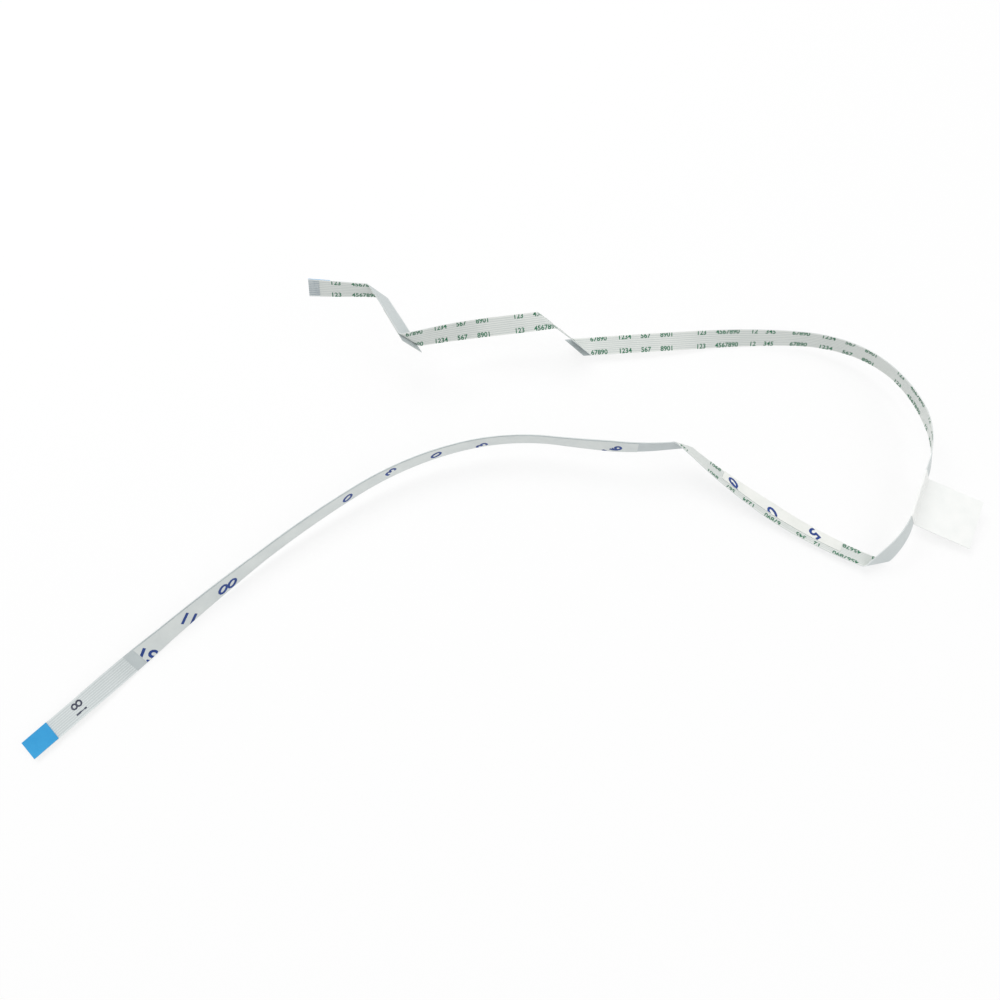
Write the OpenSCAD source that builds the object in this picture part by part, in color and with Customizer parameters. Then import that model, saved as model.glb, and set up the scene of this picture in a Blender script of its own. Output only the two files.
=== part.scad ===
// Flat flex cable: eight ribbon conductors between two films, creased across
// the corners six times and lying as it comes to rest on a table.
// Lengths in millimetres, angles in degrees, +Z up.
// A place on the cable is (s, t, n): s along it from end A, t across it,
// n out of its front face.

/* [Cable] */
// spacing of the conductors
conductor_pitch = 0.5; // [0.45:0.01:0.55]
// width of one conductor
conductor_width = 0.3; // [0.2:0.01:0.36]
// thickness of one conductor
conductor_thickness = 0.05; // [0.03:0.01:0.08]
// plain film outside the outer conductors, measured from their middles
edge_margin = 0.5; // [0.4:0.05:0.8]
// thickness of one film
film_thickness = 0.06; // [0.04:0.01:0.09]
// radius of a crease, at the middle of the cable's thickness
crease_radius = 0.5; // [0.4:0.05:0.8]

/* [Route] */
// length of the run from end A to the first crease
run_1_length = 16; // [14:0.5:20]
// length of the short run that rises between the first two creases
run_2_length = 14; // [12:0.5:17]
// length of the run between the second and third creases
run_3_length = 34.5; // [30:0.5:38]
// length of the short run between the third and fourth creases
run_4_length = 13.5; // [12:0.5:16]
// length of the long curved run between the fourth and fifth creases
run_5_length = 131.5; // [125:0.5:138]
// length of the run between the last two creases
run_6_length = 51; // [46:0.5:56]
// length of the run from the last crease to end B
run_7_length = 166; // [150:1:180]

/* [Ends] */
// bare length of the contacts
contact_length = 2.5; // [1.5:0.1:4]
// length of the stiffener at end A
stiffener_a_length = 5; // [4:0.5:7]
// length of the stiffener at end B
stiffener_b_length = 6; // [4:0.5:7]
// thickness of a stiffener
stiffener_thickness = 0.19; // [0.12:0.01:0.25]

/* [Tapes] */
// thickness of the adhesive layer of a tape
adhesive_thickness = 0.05; // [0.03:0.01:0.08]
// thickness of the release liner of a tape
liner_thickness = 0.1; // [0.06:0.01:0.14]
// length of a tape end that stays straight past a crease
tape_overhang = 2.4; // [1:0.1:3]

/* [Label] */
// length of the label along the cable
label_length = 11.5; // [8:0.5:13]
// reach of the label's free flag from the cable
label_reach = 13.5; // [6:0.5:14]
// angle of the flag out of the plane of the cable, toward its back
label_angle = 55; // [50:1:75]
// thickness of the label paper
label_paper = 0.1; // [0.06:0.01:0.14]

/* [Hidden] */
conductor_count = 8;
// longest step and sharpest turn between two rings of a run
ring_gap = 14;
ring_turn = 14;
fold_steps = 3;
// glue around the conductors, and the width over which the films meet
bond = 0.01;
land = 0.3;
// gap between the label's two leaves, and how far off the edge they meet
slit = 0.04;
hinge = 0.35;
tiny = 0.001;
// where the tapes start and end, from the ends of their runs
tape_1_ends = [7.3, 11.2];
tape_2_ends = [1, 26];
tape_2_liner_ends = [10, 28.5];
tape_3_start = 4;
tape_4_length = 40;
label_start = 1.2;

width = (conductor_count - 1) * conductor_pitch + 2 * edge_margin;
conductor_ts = [for (i = [0:conductor_count - 1])
    (i - (conductor_count - 1) / 2) * conductor_pitch];
inner_n = conductor_thickness / 2 + bond;
film_n = inner_n + film_thickness;

// direction of end A: heading, rise and roll about its own length
start_turn = [2, -8.5, 69];
// runs between creases: [length, [[share, bend toward the front, twist], ...]]
runs = [
    [run_1_length, [[1, -1, 17]]],
    [run_2_length, [[1, 1, 4]]],
    [run_3_length, [[1, 10, -26], [1, 21, -18]]],
    [run_4_length, [[1, -2, -1]]],
    [run_5_length, [[26, -6, 25], [26, 17, 33], [13, 24, 11], [13, 28, 7],
        [12, 20, -3], [14, 35, 19], [label_length + 1, 0, 0], [10, 30, 17]]],
    [run_6_length, [[1, 16, -12], [1, 10, 28]]],
    [run_7_length, [[12, 11, 9], [12, 2, -8], [20, -22, 2], [24, -20, 2], [24, -7, 3],
        [24, -4, 24], [20, -1, 52], [12, 0, 0]]]
];
// creases: [turn toward the front, slant of the crease across the cable]
creases = [[84, -45], [-111, -45], [-87, -45], [74, -45], [104, 45], [-67, 45]];
// the piece of the long run that is left straight for the label: [run, piece]
label_piece = [4, 6];

// frames are [place, along, across, normal]
function in_frame(f, v) = v[0] * f[1] + v[1] * f[2] + v[2] * f[3];
function spun(v, u, a) = v * cos(a) + cross(u, v) * sin(a) + u * (u * v) * (1 - cos(a));
function moved(f, length, bend, twist) =
    let (a = norm([twist, bend]))
    a < tiny ? [f[0] + length * f[1], f[1], f[2], f[3]] :
    let (u = [twist, -bend, 0] / a,
         q = a * PI / 180,
         e = [1, 0, 0],
         k = cross(u, e),
         d = length * (e + (1 - cos(a)) / q * k + (1 - sin(a) / q) * cross(u, k)))
    [f[0] + in_frame(f, d),
     in_frame(f, spun(e, u, a)),
     in_frame(f, spun([0, 1, 0], u, a)),
     in_frame(f, spun([0, 0, 1], u, a))];
function first_frame(q) =
    let (h = [cos(q[0]), sin(q[0]), 0],
         side = [-sin(q[0]), cos(q[0]), 0],
         along = h * cos(q[1]) + [0, 0, sin(q[1])],
         up = cross(along, side))
    [[0, 0, 0], along, side * cos(q[2]) + up * sin(q[2]),
     up * cos(q[2]) - side * sin(q[2])];

// steps are [length, bend, twist, slope of the ring that ends the step]
function crease_length(c) = crease_radius * abs(c[0]) * PI / 180 / cos(c[1]);
function flat_beside(c) = width / 2 * abs(tan(c[1])) + crease_radius;
// how far before the meeting point of two flat runs their crease begins
function setback(c) = crease_radius * tan(abs(c[0]) / 2) / cos(c[1]);
function sum(list) = [for (v = list) 1] * list;
function first_flat(i) = i > 0 ? flat_beside(creases[i - 1]) : 0;
function last_flat(i) = i < len(creases) ? flat_beside(creases[i]) : 0;
function free_length(i) = runs[i][0] - first_flat(i) - last_flat(i)
    - (i > 0 ? setback(creases[i - 1]) : 0)
    - (i < len(creases) ? setback(creases[i]) : 0);
function run_length(i) = first_flat(i) + free_length(i) + last_flat(i);
function shares(i) = [for (p = runs[i][1]) p[0]];
function run_steps(i) =
    [if (first_flat(i) > 0) [first_flat(i), 0, 0, 0],
     for (p = runs[i][1])
         let (part = free_length(i) * p[0] / sum(shares(i)),
              n = ceil(max(part / ring_gap, norm([p[1], p[2]]) / ring_turn)))
         for (j = [1:n]) [part / n, p[1] / n, p[2] / n, 0],
     if (last_flat(i) > 0) [last_flat(i), 0, 0, tan(creases[i][1])]];
function crease_steps(c) =
    [for (j = [1:fold_steps])
        [crease_length(c) / fold_steps, c[0] * cos(c[1]) / fold_steps,
         -c[0] * sin(c[1]) / fold_steps, tan(c[1])]];
steps = [for (i = [0:len(runs) - 1])
    each concat(run_steps(i), i < len(creases) ? crease_steps(creases[i]) : [])];

// s where each run starts and ends; a crease fills the gap between two runs
run_starts = [for (i = 0, s = 0; i < len(runs);
    s = s + run_length(i) + (i < len(creases) ? crease_length(creases[i]) : 0),
    i = i + 1) s];
run_ends = [for (i = [0:len(runs) - 1]) run_starts[i] + run_length(i)];
function piece_start(i, j) = run_starts[i] + first_flat(i) + free_length(i)
    * sum([0, for (k = [0:1:j - 1]) shares(i)[k]]) / sum(shares(i));

frames = [for (i = 0, f = first_frame(start_turn); i <= len(steps);
    f = i < len(steps) ? moved(f, steps[i][0], steps[i][1], steps[i][2]) : f,
    i = i + 1) f];
places = [for (i = 0, s = 0; i <= len(steps);
    s = i < len(steps) ? s + steps[i][0] : s, i = i + 1) s];
slopes = concat([0], [for (q = steps) q[3]]);
total = places[len(places) - 1];

// rings are [place, across (with its slope), normal, s, along]
rings = [for (i = [0:len(frames) - 1])
    [frames[i][0], frames[i][2] + slopes[i] * frames[i][1], frames[i][3],
     places[i], frames[i][1]]];
function ring_at(s) =
    let (later = [for (i = [1:len(rings) - 1]) if (rings[i][3] >= s) i],
         i = len(later) > 0 ? later[0] : len(rings) - 1)
    lerp(rings[i - 1], rings[i], (s - rings[i - 1][3]) / (rings[i][3] - rings[i - 1][3]));
function lerp(a, b, u) = a * (1 - u) + b * u;
function span(s0, s1) = concat([ring_at(s0)],
    [for (r = rings) if (r[3] > s0 + tiny && r[3] < s1 - tiny) r],
    [ring_at(s1)]);
function shifted(r, d) = [r[0] + d * r[4], r[1], r[2], r[3] + d, r[4]];
function at(r, q) = r[0] + q[0] * r[1] + q[1] * r[2];

// a paired section has two facing sides, capped by the strips between them
module sweep(section, path, paired = false) {
    m = len(section);
    last = len(path) - 1;
    points = [for (r = path) each [for (q = section) at(r, q)]];
    sides = [for (i = [0:last - 1], j = [0:m - 1])
        let (a = i * m + j,
             b = i * m + (j + 1) % m,
             c = a + m,
             d = b + m)
        each section[j][0] <= section[(j + 1) % m][0]
            ? [[a, d, b], [a, c, d]]
            : [[a, c, b], [b, c, d]]];
    caps = paired
        ? [for (j = [0:m / 2 - 2])
            let (quad = [j, j + 1, m - 2 - j, m - 1 - j])
            each [quad, [for (k = [3:-1:0]) last * m + quad[k]]]]
        : [[for (j = [0:m - 1]) j], [for (j = [m - 1:-1:0]) last * m + j]];
    translate(origin) polyhedron(points, concat(sides, caps), convexity = 10);
}

// crossing lines shared by every face that meets another
lines = concat([-width / 2, -width / 2 + land], conductor_ts,
    [width / 2 - land, width / 2]);
function layer(ts, n0, n1) = concat([for (t = ts) [t, n0]],
    [for (i = [len(ts) - 1:-1:0]) [ts[i], n1]]);
function lines_between(t0, t1) = concat([t0],
    [for (t = lines) if (t > t0 + tiny && t < t1 - tiny) t], [t1]);

label_s = piece_start(label_piece[0], label_piece[1]) + label_start;
label_path = span(label_s, label_s + label_length);
// inner face of the folded label, from one leaf's tip round the cable to the other's
function label_fold() =
    let (d = [-cos(label_angle), -sin(label_angle)],
         e = [-sin(label_angle), cos(label_angle)] * slit / 2,
         w = width / 2,
         h = [-w - hinge, 0],
         tip = h + label_reach * d)
    [tip - e, h - e, [-w, -film_n], [w, -film_n], [w, film_n], [-w, film_n], h + e, tip + e];
function outside(path, d) =
    let (last = len(path) - 1,
         sides = [for (i = [0:last - 1])
             let (v = path[i + 1] - path[i]) [v[1], -v[0]] / norm(v)])
    [for (i = [0:last])
        let (a = sides[max(i - 1, 0)],
             b = sides[min(i, last - 1)])
        path[i] + d * (a + b) / (1 + a * b)];
function strip(path, d) =
    let (other = outside(path, d))
    concat(path, [for (i = [len(path) - 1:-1:0]) other[i]]);
label_outline = strip(label_fold(), label_paper);

limits = concat(
    [for (r = rings, t = [-width / 2, width / 2], n = [-film_n, film_n]) at(r, [t, n])],
    [for (r = label_path, q = label_outline) at(r, q)],
    [for (r = span(total - stiffener_b_length, total), t = [-width / 2, width / 2])
        at(r, [t, -film_n - stiffener_thickness])]);
low = [for (k = [0:2]) min([for (p = limits) p[k]])];
high = [for (k = [0:2]) max([for (p = limits) p[k]])];
origin = [-(low[0] + high[0]) / 2, -(low[1] + high[1]) / 2, -low[2]];

module front_film() {
    color([0.9, 0.9, 0.88])
    sweep(layer(lines, inner_n, film_n), span(contact_length, total - contact_length));
}

module back_film() {
    inside = concat([[width / 2, inner_n], [width / 2 - land, inner_n],
        [width / 2 - land, -inner_n]],
        [for (i = [conductor_count - 1:-1:0]) [conductor_ts[i], -inner_n]],
        [[-width / 2 + land, -inner_n], [-width / 2 + land, inner_n],
        [-width / 2, inner_n]]);
    color([0.82, 0.85, 0.86])
    sweep(concat([for (t = lines) [t, -film_n]], inside), span(0, total));
}

module conductor(i) {
    t = conductor_ts[i];
    w = conductor_width / 2;
    n = conductor_thickness / 2;
    color([0.75, 0.72, 0.68])
    sweep([[t - w, -n], [t + w, -n], [t + w, n], [t - w, n]], span(0, total));
}

module stiffener(s0, s1) {
    color([0, 0.5, 0.8])
    sweep(layer(lines, -film_n - stiffener_thickness, -film_n), span(s0, s1));
}

module stiffener_a() {
    stiffener(0, stiffener_a_length);
}

module stiffener_b() {
    stiffener(total - stiffener_b_length, total);
}

// side is 1 on the front and -1 on the back
module tape_layer(ts, n0, n1, side, path) {
    sweep(layer(ts, side > 0 ? n0 : -n1, side > 0 ? n1 : -n0), path);
}

module adhesive(ts, side, path) {
    color([0.78, 0.8, 0.81])
    tape_layer(ts, film_n, film_n + adhesive_thickness, side, path);
}

module liner(ts, side, path) {
    n = film_n + adhesive_thickness;
    color([0.95, 0.95, 0.93])
    tape_layer(ts, n, n + liner_thickness, side, path);
}

tape_1_ts = lines_between(-width / 2, conductor_ts[5]);
tape_1_path = span(run_starts[5] + tape_1_ends[0], run_ends[5] - tape_1_ends[1]);
tape_2_path = span(run_starts[6] + tape_2_ends[0], total - tape_2_ends[1]);
tape_2_liner_path = span(run_starts[6] + tape_2_liner_ends[0], total - tape_2_liner_ends[1]);
tape_2_ts = lines_between(-width / 2, width / 2 - land);
tape_3_path = let (path = span(run_starts[1] + tape_3_start, run_ends[1]))
    concat(path, [shifted(path[len(path) - 1], tape_overhang)]);
tape_4_path = let (path = span(run_starts[4], run_starts[4] + tape_4_length))
    concat([shifted(path[0], -tape_overhang)], path);

module tape_1_adhesive() {
    adhesive(tape_1_ts, 1, tape_1_path);
}

module tape_1_liner() {
    liner(tape_1_ts, 1, tape_1_path);
}

module tape_2_adhesive() {
    adhesive(lines, -1, tape_2_path);
}

module tape_2_liner() {
    liner(tape_2_ts, -1, tape_2_liner_path);
}

module tape_3_adhesive() {
    adhesive(lines, 1, tape_3_path);
}

module tape_3_liner() {
    liner(lines, 1, tape_3_path);
}

module tape_4_adhesive() {
    adhesive(lines, -1, tape_4_path);
}

module tape_4_liner() {
    liner(lines, -1, tape_4_path);
}

module label() {
    color([0.97, 0.98, 0.97])
    sweep(label_outline, label_path, paired = true);
}

front_film();
back_film();
for (i = [1:conductor_count])
    conductor(i - 1);
stiffener_a();
stiffener_b();
tape_1_adhesive();
tape_1_liner();
tape_2_adhesive();
tape_2_liner();
tape_3_adhesive();
tape_3_liner();
tape_4_adhesive();
tape_4_liner();
label();
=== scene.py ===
import bmesh
import bpy
from math import ceil, cos, hypot, radians, sin, tan
from mathutils import Matrix, Vector


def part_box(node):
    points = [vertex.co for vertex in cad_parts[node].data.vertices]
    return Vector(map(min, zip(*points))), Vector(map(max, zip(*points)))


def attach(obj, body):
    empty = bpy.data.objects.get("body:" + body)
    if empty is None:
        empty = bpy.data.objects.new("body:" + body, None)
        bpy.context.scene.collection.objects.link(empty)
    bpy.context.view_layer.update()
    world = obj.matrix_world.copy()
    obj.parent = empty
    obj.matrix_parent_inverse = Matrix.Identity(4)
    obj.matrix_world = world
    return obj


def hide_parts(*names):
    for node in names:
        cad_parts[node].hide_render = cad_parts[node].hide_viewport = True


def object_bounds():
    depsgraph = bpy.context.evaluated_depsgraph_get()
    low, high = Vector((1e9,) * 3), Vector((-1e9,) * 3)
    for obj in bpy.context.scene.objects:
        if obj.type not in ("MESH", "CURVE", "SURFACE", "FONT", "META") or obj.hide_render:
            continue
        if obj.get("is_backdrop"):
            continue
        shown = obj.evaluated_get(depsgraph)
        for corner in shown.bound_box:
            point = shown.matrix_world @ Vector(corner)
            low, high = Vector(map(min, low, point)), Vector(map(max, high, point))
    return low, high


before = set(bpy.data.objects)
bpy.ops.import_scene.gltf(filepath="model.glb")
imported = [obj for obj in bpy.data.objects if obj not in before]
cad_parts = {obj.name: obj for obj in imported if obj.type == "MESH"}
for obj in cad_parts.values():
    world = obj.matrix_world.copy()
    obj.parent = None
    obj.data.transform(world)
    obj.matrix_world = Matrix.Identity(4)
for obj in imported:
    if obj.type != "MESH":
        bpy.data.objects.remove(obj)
boxes = {"loaded": [list(corner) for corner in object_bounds()]}
mm = 0.001

# the cable, in millimetres and degrees, as in the part's own source
cable = {
    "conductors": 8, "pitch": 0.5, "conductorWidth": 0.3, "conductorThickness": 0.05,
    "edgeMargin": 0.5, "film": 0.06, "bond": 0.01, "land": 0.3, "creaseRadius": 0.5,
    "ringGap": 14, "ringTurn": 14, "foldSteps": 3, "contact": 2.5,
    # longest gap and sharpest turn between the finer rings of the pieces here
    "fineGap": 1.1, "fineTurn": 6,
}
startTurn = (2, -8.5, 69)  # heading, rise and roll of end A
# runs between creases: length, then pieces of (share, bend to the front, twist)
runs = [
    (16, [(1, -1, 17)]),
    (14, [(1, 1, 4)]),
    (34.5, [(1, 10, -26), (1, 21, -18)]),
    (13.5, [(1, -2, -1)]),
    (131.5, [(26, -6, 25), (26, 17, 33), (13, 24, 11), (13, 28, 7),
             (12, 20, -3), (14, 35, 19), (12.5, 0, 0), (10, 30, 17)]),
    (51, [(1, 16, -12), (1, 10, 28)]),
    (166, [(12, 11, 9), (12, 2, -8), (20, -22, 2), (24, -20, 2), (24, -7, 3),
           (24, -4, 24), (20, -1, 52), (12, 0, 0)]),
]
creases = [(84, -45), (-111, -45), (-87, -45), (74, -45), (104, 45), (-67, 45)]

width = (cable["conductors"] - 1) * cable["pitch"] + 2 * cable["edgeMargin"]
half = width / 2
innerN = cable["conductorThickness"] / 2 + cable["bond"]
filmN = innerN + cable["film"]
conductorTs = [(i - (cable["conductors"] - 1) / 2) * cable["pitch"]
               for i in range(cable["conductors"])]


def tanDeg(angle):
    return tan(radians(angle))


def creaseLength(crease):
    return cable["creaseRadius"] * abs(radians(crease[0])) / cos(radians(crease[1]))


def flatBeside(crease):
    return half * abs(tanDeg(crease[1])) + cable["creaseRadius"]


def setback(crease):
    return cable["creaseRadius"] * tanDeg(abs(crease[0]) / 2) / cos(radians(crease[1]))


def moved(place, turn, length, bend, twist):
    # turn's columns run along, across and out of the front of the cable
    spin = Vector((radians(twist), -radians(bend), 0))
    angle = spin.length
    if angle < 1e-7:
        return place + turn @ Vector((length, 0, 0)), turn.copy()
    axis = spin / angle
    first = axis.cross(Vector((1, 0, 0)))
    second = axis.cross(first)
    step = Vector((1, 0, 0)) + first * ((1 - cos(angle)) / angle)
    step += second * (1 - sin(angle) / angle)
    return place + turn @ (step * length), turn @ Matrix.Rotation(angle, 3, axis)


def firstTurn():
    heading, rise, roll = [radians(a) for a in startTurn]
    side = Vector((-sin(heading), cos(heading), 0))
    along = Vector((cos(heading), sin(heading), 0)) * cos(rise) + Vector((0, 0, sin(rise)))
    up = along.cross(side)
    across = side * cos(roll) + up * sin(roll)
    normal = up * cos(roll) - side * sin(roll)
    return Matrix((along, across, normal)).transposed()


def routeSteps():
    # steps of (length, bend, twist, slope at its end) and where each run starts and ends
    steps, starts, ends, pieceStarts = [], [], [], []
    s = 0.0
    for i, (length, pieces) in enumerate(runs):
        before = flatBeside(creases[i - 1]) if i > 0 else 0
        after = flatBeside(creases[i]) if i < len(creases) else 0
        free = length - before - after
        free -= setback(creases[i - 1]) if i > 0 else 0
        free -= setback(creases[i]) if i < len(creases) else 0
        starts.append(s)
        if before:
            steps.append((before, 0, 0, 0))
        total = sum(p[0] for p in pieces)
        at = s + before
        pieceStarts.append([])
        for share, bend, twist in pieces:
            part = free * share / total
            pieceStarts[-1].append(at)
            at += part
            count = ceil(max(part / cable["ringGap"], hypot(bend, twist) / cable["ringTurn"]))
            steps += [(part / count, bend / count, twist / count, 0)] * count
        if after:
            steps.append((after, 0, 0, tanDeg(creases[i][1])))
        s = at + after
        ends.append(s)
        if i < len(creases):
            turn, slant = creases[i]
            bent = creaseLength(creases[i])
            count = cable["foldSteps"]
            steps += [(bent / count, turn * cos(radians(slant)) / count,
                       -turn * sin(radians(slant)) / count, tanDeg(slant))] * count
            s += bent
    return steps, starts, ends, pieceStarts


steps, runStarts, runEnds, pieceStarts = routeSteps()


def makeRings(split):
    # each ring is (s, place, across with its slope, normal, along); split is the longest gap,
    # and 0 keeps the steps of the part's source
    place, turn, s, slope = Vector((0, 0, 0)), firstTurn(), 0.0, 0.0
    rings = [(0.0, place, turn.col[1].copy(), turn.col[2].copy(), turn.col[0].copy())]
    for length, bend, twist, nextSlope in steps:
        bending = hypot(bend, twist)
        count = max(1, ceil(length / split), ceil(bending / cable["fineTurn"])) if split else 1
        for j in range(1, count + 1):
            u = j / count
            p, f = moved(place, turn, length * u, bend * u, twist * u)
            m = slope + (nextSlope - slope) * u
            along, across, normal = (f.col[k].copy() for k in range(3))
            rings.append((s + length * u, p, across + along * m, normal, along))
        place, turn, s, slope = p, f, s + length, nextSlope
    return rings


coarseRings = makeRings(0)
fineRings = makeRings(cable["fineGap"])
total = coarseRings[-1][0]


def ringAt(rings, s):
    s = min(max(s, 0.0), total)
    low, high = 0, len(rings) - 1
    while high - low > 1:
        middle = (low + high) // 2
        if rings[middle][0] <= s:
            low = middle
        else:
            high = middle
    a, b = rings[low], rings[high]
    u = (s - a[0]) / (b[0] - a[0])
    return tuple(x + (y - x) * u for x, y in zip(a, b))


def span(s0, s1, rings=None):
    rings = rings or fineRings
    inside = [r for r in rings if s0 + 0.02 < r[0] < s1 - 0.02]
    return [ringAt(rings, s0)] + inside + [ringAt(rings, s1)]


def onRing(ring, t, n):
    return ring[1] + ring[2] * t + ring[3] * n


# the CAD stands on its own lowest point, so the route moves to where its film is
filmPoints = [onRing(r, t, n)
              for r in span(cable["contact"], total - cable["contact"], coarseRings)
              for t in (-half, half) for n in (innerN, filmN)]
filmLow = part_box("front_film")[0]
shift = Vector([filmLow[k] / mm - min(p[k] for p in filmPoints) for k in range(3)])


def toWorld(point):
    return (point + shift) * mm


search = {"reach": 4, "halvings": 20}


def spot(s, t, n):
    # a place on the flat pattern: beside a crease the rings slant across the cable
    low, high = max(s - search["reach"], 0.0), min(s + search["reach"], total)
    for k in range(search["halvings"]):
        middle = (low + high) / 2
        ring = ringAt(fineRings, middle)
        if middle + ring[2].dot(ring[4]) * t < s:
            low = middle
        else:
            high = middle
    return toWorld(onRing(ring, t, n))


print("route ready, length", round(total, 1), "mm in", len(fineRings), "rings")


def linear(colour):
    # from the 0 to 255 values of a colour chart
    shares = [c / 255 for c in colour]
    return [x / 12.92 if x <= 0.04 else ((x + 0.055) / 1.055) ** 2.4 for x in shares]


def makeFinish(name, values):
    # a Principled surface whose colour, gloss and relief vary a little with noise
    material = bpy.data.materials.new(name)
    material.use_nodes = True
    tree = material.node_tree
    shader = tree.nodes["Principled BSDF"]
    where = tree.nodes.new("ShaderNodeTexCoord")
    noise = tree.nodes.new("ShaderNodeTexNoise")
    noise.inputs["Scale"].default_value = values["scale"]
    noise.inputs["Detail"].default_value = 4
    tree.links.new(where.outputs["Object"], noise.inputs["Vector"])
    ramp = tree.nodes.new("ShaderNodeValToRGB")
    ramp.color_ramp.elements[0].position = 0.3
    ramp.color_ramp.elements[1].position = 0.7
    ramp.color_ramp.elements[0].color = linear(values["dark"]) + [1]
    ramp.color_ramp.elements[1].color = linear(values["light"]) + [1]
    tree.links.new(noise.outputs["Fac"], ramp.inputs["Fac"])
    tree.links.new(ramp.outputs["Color"], shader.inputs["Base Color"])
    gloss = tree.nodes.new("ShaderNodeMapRange")
    gloss.inputs["To Min"].default_value = values["roughness"][0]
    gloss.inputs["To Max"].default_value = values["roughness"][1]
    tree.links.new(noise.outputs["Fac"], gloss.inputs["Value"])
    tree.links.new(gloss.outputs["Result"], shader.inputs["Roughness"])
    fine = tree.nodes.new("ShaderNodeTexNoise")
    fine.inputs["Scale"].default_value = values["grain"]
    fine.inputs["Detail"].default_value = 3
    tree.links.new(where.outputs["Object"], fine.inputs["Vector"])
    bump = tree.nodes.new("ShaderNodeBump")
    bump.inputs["Strength"].default_value = values["relief"]
    bump.inputs["Distance"].default_value = 0.00005
    tree.links.new(fine.outputs["Fac"], bump.inputs["Height"])
    tree.links.new(bump.outputs["Normal"], shader.inputs["Normal"])
    shader.inputs["Metallic"].default_value = values.get("metallic", 0)
    shader.inputs["Specular IOR Level"].default_value = values.get("specular", 0.4)
    shader.inputs["Coat Weight"].default_value = values.get("coat", 0)
    shader.inputs["Coat Roughness"].default_value = 0.25
    return material


finishes = {
    "frontFilm": {"light": (232, 235, 231), "dark": (224, 228, 224), "scale": 90,
                  "grain": 2600, "relief": 0.15, "roughness": (0.3, 0.42),
                  "coat": 0.15},
    "frontFilmOverCopper": {"light": (212, 217, 214), "dark": (204, 210, 207), "scale": 90,
                            "grain": 2600, "relief": 0.15, "roughness": (0.3, 0.42),
                            "coat": 0.15},
    "backFilm": {"light": (224, 229, 229), "dark": (215, 222, 222), "scale": 90,
                 "grain": 2600, "relief": 0.15, "roughness": (0.32, 0.45), "coat": 0.12},
    "backFilmOverCopper": {"light": (206, 212, 212), "dark": (198, 206, 206), "scale": 90,
                           "grain": 2600, "relief": 0.15, "roughness": (0.32, 0.45),
                           "coat": 0.12},
    "tinnedCopper": {"light": (196, 204, 208), "dark": (170, 180, 186), "scale": 700,
                     "grain": 4000, "relief": 0.3, "roughness": (0.25, 0.4),
                     "metallic": 0.75},
    "stiffenerBlue": {"light": (60, 170, 226), "dark": (38, 150, 210), "scale": 160,
                      "grain": 2200, "relief": 0.25, "roughness": (0.4, 0.55)},
    "adhesive": {"light": (200, 208, 209), "dark": (186, 194, 195), "scale": 260,
                 "grain": 1800, "relief": 0.3, "roughness": (0.3, 0.5)},
    "linerPaper": {"light": (243, 244, 240), "dark": (235, 237, 232), "scale": 220,
                   "grain": 3200, "relief": 0.3, "roughness": (0.4, 0.5), "coat": 0.1},
    # the same white liner paper, painted darker and bluer as shade where tape two lies on the
    # cable's shaded back
    "linerPaperPaintedShade": {"light": (223, 228, 226), "dark": (213, 219, 218), "scale": 220,
                       "grain": 3200, "relief": 0.3, "roughness": (0.4, 0.5), "coat": 0.1},
    "labelPaper": {"light": (252, 253, 251), "dark": (246, 248, 246), "scale": 300,
                   "grain": 3000, "relief": 0.35, "roughness": (0.5, 0.62)},
    "greenInk": {"light": (44, 124, 88), "dark": (32, 104, 74), "scale": 900,
                 "grain": 5000, "relief": 0.1, "roughness": (0.45, 0.55)},
    "blueInk": {"light": (32, 70, 148), "dark": (22, 54, 124), "scale": 900,
                "grain": 5000, "relief": 0.1, "roughness": (0.45, 0.55)},
    "greyInk": {"light": (74, 78, 96), "dark": (54, 58, 76), "scale": 900,
                "grain": 5000, "relief": 0.1, "roughness": (0.45, 0.55)},
}
finish = {name: makeFinish(name, values) for name, values in finishes.items()}
print("finishes ready:", len(finish))


def addPiece(name, points, faces, materials, picks=None, slot=None, soft=True):
    mesh = bpy.data.meshes.new(name)
    mesh.from_pydata([tuple(p) for p in points], [], faces)
    for material in materials:
        mesh.materials.append(material)
    if picks:
        mesh.polygons.foreach_set("material_index", picks)
    if soft:
        mesh.polygons.foreach_set("use_smooth", [True] * len(mesh.polygons))
        mesh.set_sharp_from_angle(angle=radians(28))
    mesh.update()
    piece = bpy.data.objects.new(name, mesh)
    bpy.context.scene.collection.objects.link(piece)
    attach(piece, "root")
    return piece


def sweepPiece(name, section, rings, materials, pick=None, paired=True, slot=None):
    # section is a closed line of (t, n); a paired one is capped by strips between its sides
    m, last = len(section), len(rings) - 1
    points = [toWorld(onRing(r, t, n)) for r in rings for t, n in section]
    faces, picks = [], []
    for i in range(last):
        for j in range(m):
            k = (j + 1) % m
            faces.append((i * m + j, i * m + k, (i + 1) * m + k, (i + 1) * m + j))
            picks.append(pick(section[j], section[k]) if pick else 0)
    end = last * m
    if paired:
        for j in range(m // 2 - 1):
            strip = (j, j + 1, m - 2 - j, m - 1 - j)
            faces += [strip[::-1], tuple(end + k for k in strip)]
            picks += [0, 0]
    else:
        faces += [tuple(range(m))[::-1], tuple(range(end, end + m))]
        picks += [0, 0]
    return addPiece(name, points, faces, materials, picks, slot)


def layer(ts, n0, n1):
    return [(t, n0) for t in ts] + [(t, n1) for t in reversed(ts)]


films = {"valley": 0.018, "shoulder": 0.03}  # how the film sinks between the conductors


def filmFace(n):
    # the outside of a film, a little lower between conductors; n is where its ridges are
    low = n - films["valley"] * (1 if n > 0 else -1)
    edge = cable["conductorWidth"] / 2
    line = [(-half, n), (-half + cable["land"], low)]
    for t in conductorTs:
        line += [(t - edge - films["shoulder"], low), (t - edge, n),
                 (t + edge, n), (t + edge + films["shoulder"], low)]
    return line + [(half - cable["land"], low), (half, n)]


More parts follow.
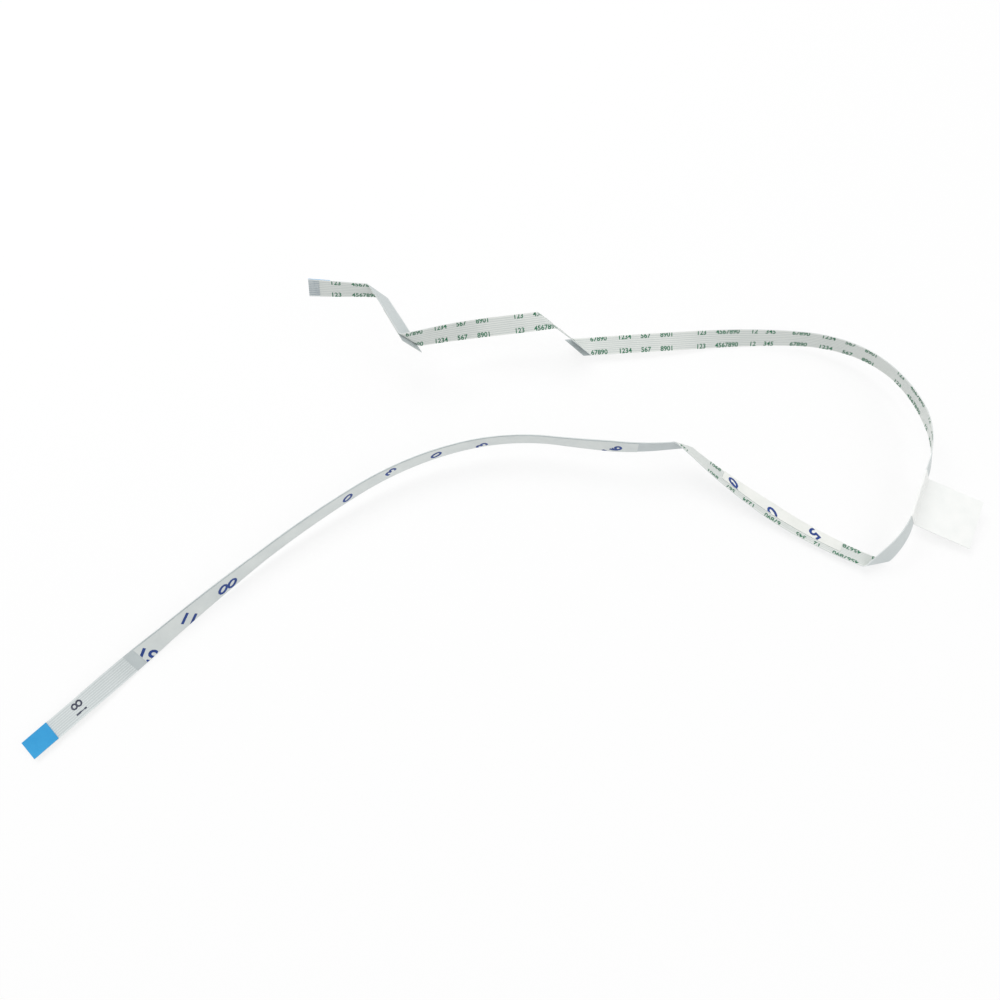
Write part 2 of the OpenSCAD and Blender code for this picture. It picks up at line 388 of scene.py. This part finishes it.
def overCopper(side):
    def pick(a, b):
        middle = (a[0] + b[0]) / 2
        near = min(abs(middle - t) for t in conductorTs)
        return int(near < cable["conductorWidth"] / 2 and min(a[1] * side, b[1] * side) > innerN)
    return pick


topLine = filmFace(filmN)
frontSection = [(t, innerN) for t, n in topLine] + topLine[::-1]
frontFilm = sweepPiece("frontFilm", frontSection, span(cable["contact"], total - cable["contact"]),
                       [finish["frontFilm"], finish["frontFilmOverCopper"]],
                       overCopper(1), slot="front_film")
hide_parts("front_film")

bottomLine = filmFace(-filmN)
land = half - cable["land"]
backInside = [(half, innerN), (land, innerN), (land, -innerN), (-land, -innerN),
              (-land, innerN), (-half, innerN)]
backFilm = sweepPiece("backFilm", bottomLine + backInside, span(0, total),
                      [finish["backFilm"], finish["backFilmOverCopper"]],
                      overCopper(-1), paired=False, slot="back_film")
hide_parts("back_film")

conductorBevel = 0.012
for i, t in enumerate(conductorTs):
    w, n, bevel = cable["conductorWidth"] / 2, cable["conductorThickness"] / 2, conductorBevel
    section = [(t - w, -n + bevel), (t - w + bevel, -n), (t + w - bevel, -n), (t + w, -n + bevel),
               (t + w, n - bevel), (t + w - bevel, n), (t - w + bevel, n), (t - w, n - bevel)]
    strip = sweepPiece("conductor" + str(i + 1), section, span(0, total),
                       [finish["tinnedCopper"]], slot="conductor")
    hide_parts("conductor_" + str(i + 1))
print("films and conductors ready")

stiffeners = {"lengthA": 5, "lengthB": 6, "thickness": 0.19, "bevel": 0.03}


def makeStiffener(name, node, s0, s1):
    n0, n1, b = -filmN - stiffeners["thickness"], -filmN, stiffeners["bevel"]
    ts = [-half + b, -half / 2, 0, half / 2, half - b]
    section = [(-half, n0 + b)] + [(t, n0) for t in ts] + [(half, n0 + b)]
    section += [(half, n1 - b / 2)] + [(t, n1) for t in reversed(ts)] + [(-half, n1 - b / 2)]
    piece = sweepPiece(name, section, span(s0, s1), [finish["stiffenerBlue"]],
                       slot="stiffener")
    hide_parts(node)
    return piece


stiffenerA = makeStiffener("stiffenerA", "stiffener_a", 0, stiffeners["lengthA"])
stiffenerB = makeStiffener("stiffenerB", "stiffener_b", total - stiffeners["lengthB"], total)

tapes = {
    "adhesive": 0.05, "liner": 0.1, "overhang": 2.4, "land": 0.3,
    "oneEnds": (7.3, 11.2), "twoEnds": (1, 26), "twoLinerEnds": (10, 28.5),
    "threeStart": 4, "fourLength": 40, "step": 0.75,
}


def evenTs(t0, t1):
    count = max(2, ceil((t1 - t0) / tapes["step"]))
    return [t0 + (t1 - t0) * k / count for k in range(count + 1)]


def tapeLayers(name, node, ts, side, rings, linerTs=None, linerRings=None, paper="linerPaper"):
    a, b = filmN, filmN + tapes["adhesive"]
    c = b + tapes["liner"]
    pieces = []
    for part, low, high, across, path in (
            ("Adhesive", a, b, ts, rings),
            ("Liner", b, c, linerTs or ts, linerRings or rings)):
        section = layer(across, low, high) if side > 0 else layer(across, -high, -low)
        material = finish["adhesive"] if part == "Adhesive" else finish[paper]
        piece = sweepPiece(name + part, section, path, [material],
                           slot="adhesive" if part == "Adhesive" else "liner")
        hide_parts(node + "_" + part.lower())
        pieces.append(piece)
    return pieces


def shifted(ring, distance):
    s, place, across, normal, along = ring
    return (s + distance, place + along * distance, across, normal, along)


allTs = evenTs(-half, half)
tapePieces = []
tapePieces += tapeLayers("tapeOne", "tape_1", evenTs(-half, conductorTs[5]), 1,
                         span(runStarts[5] + tapes["oneEnds"][0],
                              runEnds[5] - tapes["oneEnds"][1]))
# tape two's liner uses the copy of the liner paper with painted shade
tapePieces += tapeLayers("tapeTwo", "tape_2", allTs, -1,
                         span(runStarts[6] + tapes["twoEnds"][0], total - tapes["twoEnds"][1]),
                         evenTs(-half, half - tapes["land"]),
                         span(runStarts[6] + tapes["twoLinerEnds"][0],
                              total - tapes["twoLinerEnds"][1]), "linerPaperPaintedShade")
threePath = span(runStarts[1] + tapes["threeStart"], runEnds[1])
tapePieces += tapeLayers("tapeThree", "tape_3", allTs, 1,
                         threePath + [shifted(threePath[-1], tapes["overhang"])])
fourPath = span(runStarts[4], runStarts[4] + tapes["fourLength"])
tapePieces += tapeLayers("tapeFour", "tape_4", allTs, -1,
                         [shifted(fourPath[0], -tapes["overhang"])] + fourPath)
print("stiffeners and tapes ready")

label = {"length": 11.5, "reach": 13.5, "angle": 55, "paper": 0.1, "slit": 0.04,
         "hinge": 0.35, "start": 1.2}
labelS = pieceStarts[4][6] + label["start"]


def labelFold():
    # inner face, from one leaf's tip round the cable to the other's
    a = radians(label["angle"])
    d = Vector((-cos(a), -sin(a)))
    e = Vector((-sin(a), cos(a))) * label["slit"] / 2
    h = Vector((-half - label["hinge"], 0))
    tip = h + d * label["reach"]
    around = [Vector(p) for p in ((-half, -filmN), (half, -filmN), (half, filmN),
                                  (-half, filmN))]
    return [tip - e, h - e] + around + [h + e, tip + e]


def outside(path, distance):
    sides = []
    for a, b in zip(path, path[1:]):
        v = (b - a).normalized()
        sides.append(Vector((v.y, -v.x)))
    out = []
    for i, p in enumerate(path):
        a, b = sides[max(i - 1, 0)], sides[min(i, len(sides) - 1)]
        out.append(p + (a + b) * distance / (1 + a.dot(b)))
    return out


labelInner = labelFold()
labelOuter = outside(labelInner, label["paper"])
labelSection = [tuple(p) for p in labelInner + labelOuter[::-1]]
labelRings = span(labelS, labelS + label["length"])
labelPiece = sweepPiece("flagLabel", labelSection, labelRings, [finish["labelPaper"]],
                        slot="label_paper")
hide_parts("label")
print("label ready")

legend = {
    "words": ("123", "4567890", "12", "345", "67890", "1234", "567", "8901"),
    "shares": (0, 0.097, 0.269, 0.339, 0.467, 0.6055, 0.7186, 0.8166),
    "period": 50.4, "start": 5.0, "size": 1.68, "rows": (-2.2, 1.28), "bold": 0.035,
    "cut": 2.2, "stand": 0.014, "longest": 7,
}


def glyphs(text, size, bold, centre=False):
    # flat letters as a mesh of (x, y), with their feet on y = 0
    curve = bpy.data.curves.new("glyphs", "FONT")
    curve.body = text
    curve.size = size
    curve.offset = bold
    curve.resolution_u = 3
    curve.align_x = "CENTER" if centre else "LEFT"
    holder = bpy.data.objects.new("glyphs", curve)
    bpy.context.scene.collection.objects.link(holder)
    bpy.context.view_layer.update()
    mesh = bpy.data.meshes.new_from_object(
        holder.evaluated_get(bpy.context.evaluated_depsgraph_get()))
    flat = bmesh.new()
    flat.from_mesh(mesh)
    bpy.data.objects.remove(holder)
    bpy.data.curves.remove(curve)
    bpy.data.meshes.remove(mesh)
    return flat


def cutFlat(flat, point, normal):
    # takes off what lies past a line
    bmesh.ops.bisect_plane(flat, geom=flat.verts[:] + flat.edges[:] + flat.faces[:],
                           plane_co=(*point, 0), plane_no=(*normal, 0), clear_outer=True)


class Print:
    # gathers flat marks on the cable and makes one thin piece of them
    def __init__(self, name, material, slot):
        self.name, self.material, self.slot = name, material, slot
        self.points, self.faces = [], []

    def add(self, flat, place):
        bmesh.ops.triangulate(flat, faces=flat.faces[:])
        start = len(self.points)
        flat.verts.ensure_lookup_table()
        for k, v in enumerate(flat.verts):
            v.index = k
            self.points.append(place(v.co.x, v.co.y))
        self.faces += [tuple(start + v.index for v in f.verts) for f in flat.faces]
        flat.free()

    def finish(self):
        return addPiece(self.name, self.points, self.faces, [self.material],
                        slot=self.slot, soft=False)


legendPrint = Print("legendPrint", finish["greenInk"], "front_film")
rounds = ceil((total - legend["start"]) / legend["period"])
for k in range(rounds):
    for word, share in zip(legend["words"], legend["shares"]):
        s0 = legend["start"] + (k + share) * legend["period"]
        if s0 + legend["longest"] > total - cable["contact"]:
            continue
        for row in legend["rows"]:
            flat = glyphs(word, legend["size"], legend["bold"])
            cutFlat(flat, (0, legend["cut"] - row), (0, 1))
            legendPrint.add(flat, lambda x, y: spot(s0 + x, row + y, filmN + legend["stand"]))
legendPiece = legendPrint.finish()
print("legend ready,", rounds, "rounds")

marks = {
    "size": 4.1, "bold": 0.12, "stand": 0.012, "margin": 0.05, "endMargin": 0.1,
    "midHeight": 0.35,
    # digits, place along, place across and turn of each
    "one": (("0", 244.0, -0.45, 60), ("1", 243.0, 0.62, 60), ("0", 232.9, 0.35, 60),
            ("5", 222.3, -0.55, 62)),
    "two": (("6", 274.0, -0.85, -60), ("1", 275.8, -1.5, -60), ("3", 305.6, -1.4, -60),
            ("0", 316.5, -0.4, -60), ("3", 327.9, 0.4, -60), ("0", 339.5, -0.5, -60),
            ("0", 371.6, -0.9, -60), ("0", 373.9, -0.6, -60), ("11", 383.5, -0.9, -60),
            ("51", 395.0, -0.9, -60)),
}


def turnedGlyphs(text, size, bold, angle):
    flat = glyphs(text, size, bold, centre=True)
    middle = Vector((0, size * marks["midHeight"], 0))
    bmesh.ops.translate(flat, verts=flat.verts[:], vec=-middle)
    bmesh.ops.rotate(flat, verts=flat.verts[:], matrix=Matrix.Rotation(radians(angle), 3, "Z"))
    return flat


def tapeMarks(name, entries, low, high, n, end):
    side = 1 if n > 0 else -1
    group = Print(name, finish["blueInk"], "liner")
    for text, s, t, angle in entries:
        flat = turnedGlyphs(text, marks["size"], marks["bold"], angle)
        cutFlat(flat, (0, (high - t) if side > 0 else (t - low)), (0, 1))
        cutFlat(flat, (0, (low - t) if side > 0 else (t - high)), (0, -1))
        cutFlat(flat, (end - s, 0), (1, 0))
        # the back is read from behind, so across runs the other way there
        group.add(flat, lambda x, y: spot(s + x, t + y * side, n + side * marks["stand"]))
    return group.finish()


linerTop = filmN + tapes["adhesive"] + tapes["liner"]
margin = marks["margin"]
marksOne = tapeMarks("tapeOneMarks", marks["one"], -half + margin, conductorTs[5] - margin,
                     linerTop, runEnds[5] - tapes["oneEnds"][1] - marks["endMargin"])
marksTwo = tapeMarks("tapeTwoMarks", marks["two"], -half + margin,
                     half - tapes["land"] - margin, -linerTop,
                     total - tapes["twoLinerEnds"][1] - marks["endMargin"])
endMark = {"text": "18", "s": 411.9, "t": -0.1, "size": 3.6, "bold": 0.02, "turn": -90,
           "stand": 0.014}
endGroup = Print("endMark", finish["greyInk"], "back_film")
endGroup.add(turnedGlyphs(endMark["text"], endMark["size"], endMark["bold"],
                          endMark["turn"]),
             lambda x, y: spot(endMark["s"] + x, endMark["t"] - y,
                               -filmN - endMark["stand"]))
endPiece = endGroup.finish()
print("tape marks and end mark ready")

view = {"target": (-4.78, 6.84, -2.3), "place": (-0.3, -63.5, 168.74), "roll": -3.937,
        "lens": 27.77}
target, place = Vector(view["target"]) * mm, Vector(view["place"]) * mm
cameraData = bpy.data.cameras.new("camera")
cameraData.lens = view["lens"]
cameraData.sensor_width = 36
cameraData.clip_start = 0.01
camera = bpy.data.objects.new("camera", cameraData)
bpy.context.scene.collection.objects.link(camera)
look = (target - place).normalized()
roll = Matrix.Rotation(radians(view["roll"]), 3, "Z").to_quaternion()
turn = look.to_track_quat("-Z", "Y") @ roll
camera.matrix_world = Matrix.Translation(place) @ turn.to_matrix().to_4x4()
bpy.context.scene.camera = camera

table = {"size": 3.0, "colour": (250, 250, 250), "glow": 0.75, "below": 0.00005}
floorMesh = bpy.data.meshes.new("floor")
e = table["size"] / 2
floorMesh.from_pydata([(-e, -e, 0), (e, -e, 0), (e, e, 0), (-e, e, 0)], [], [(0, 1, 2, 3)])
floor = bpy.data.objects.new("floor", floorMesh)
floor.location.z = -table["below"]
bpy.context.scene.collection.objects.link(floor)
floor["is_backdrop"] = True
paper = bpy.data.materials.new("tablePaper")
paper.use_nodes = True
nodes, links = paper.node_tree.nodes, paper.node_tree.links
matte = nodes["Principled BSDF"]
matte.inputs["Base Color"].default_value = linear(table["colour"]) + [1]
matte.inputs["Roughness"].default_value = 0.9
matte.inputs["Specular IOR Level"].default_value = 0.0
glow = nodes.new("ShaderNodeEmission")
glow.inputs["Strength"].default_value = 1
path = nodes.new("ShaderNodeLightPath")
share = nodes.new("ShaderNodeMath")
share.operation = "MULTIPLY"
share.inputs[1].default_value = table["glow"]
seen = nodes.new("ShaderNodeMath")
seen.operation = "MAXIMUM"
mix = nodes.new("ShaderNodeMixShader")
links.new(path.outputs["Is Camera Ray"], seen.inputs[0])
links.new(path.outputs["Is Glossy Ray"], seen.inputs[1])
links.new(seen.outputs[0], share.inputs[0])
links.new(share.outputs[0], mix.inputs["Fac"])
links.new(matte.outputs["BSDF"], mix.inputs[1])
links.new(glow.outputs["Emission"], mix.inputs[2])
links.new(mix.outputs["Shader"], nodes["Material Output"].inputs["Surface"])
floorMesh.materials.append(paper)

# places and sizes in metres, powers in watts
lamps = {
    "world": 0.62,
    "keyLamp": {"place": (-0.35, 0.45, 0.8), "size": 0.6, "power": 3.78},
    "fillLamp": {"place": (0.6, -0.3, 0.7), "size": 0.8, "power": 1.8},
}
world = bpy.data.worlds.new("studio")
bpy.context.scene.world = world
world.use_nodes = True
worldNodes, worldLinks = world.node_tree.nodes, world.node_tree.links
sky = worldNodes["Background"]
sky.inputs["Color"].default_value = (1, 1, 1, 1)
sky.inputs["Strength"].default_value = lamps["world"]
white = worldNodes.new("ShaderNodeBackground")
white.inputs["Strength"].default_value = 1
rays = worldNodes.new("ShaderNodeLightPath")
either = worldNodes.new("ShaderNodeMath")
either.operation = "MAXIMUM"
blend = worldNodes.new("ShaderNodeMixShader")
worldLinks.new(rays.outputs["Is Camera Ray"], either.inputs[0])
worldLinks.new(rays.outputs["Is Glossy Ray"], either.inputs[1])
worldLinks.new(either.outputs[0], blend.inputs["Fac"])
worldLinks.new(sky.outputs["Background"], blend.inputs[1])
worldLinks.new(white.outputs["Background"], blend.inputs[2])
worldLinks.new(blend.outputs["Shader"], worldNodes["World Output"].inputs["Surface"])


corners = [Vector(c) for c in boxes["loaded"]]
middle = (corners[0] + corners[1]) / 2
for name in ("keyLamp", "fillLamp"):
    lamp = bpy.data.lights.new(name, "AREA")
    lamp.shape = "SQUARE"
    lamp.size = lamps[name]["size"]
    lamp.energy = lamps[name]["power"]
    stand = bpy.data.objects.new(name, lamp)
    bpy.context.scene.collection.objects.link(stand)
    stand.location = lamps[name]["place"]
    stand.rotation_euler = (middle - stand.location).to_track_quat("-Z", "Y").to_euler()

bpy.context.scene.view_settings.view_transform = "Standard"
print("camera, table and lamps ready")

# the cable's centreline in world places
centre = [toWorld(r[1]) for r in fineRings]
tuple(centre[0])
[tuple(p) for p in centre]

bpy.context.view_layer.update()
boxes["finished"] = [list(corner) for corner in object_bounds()]
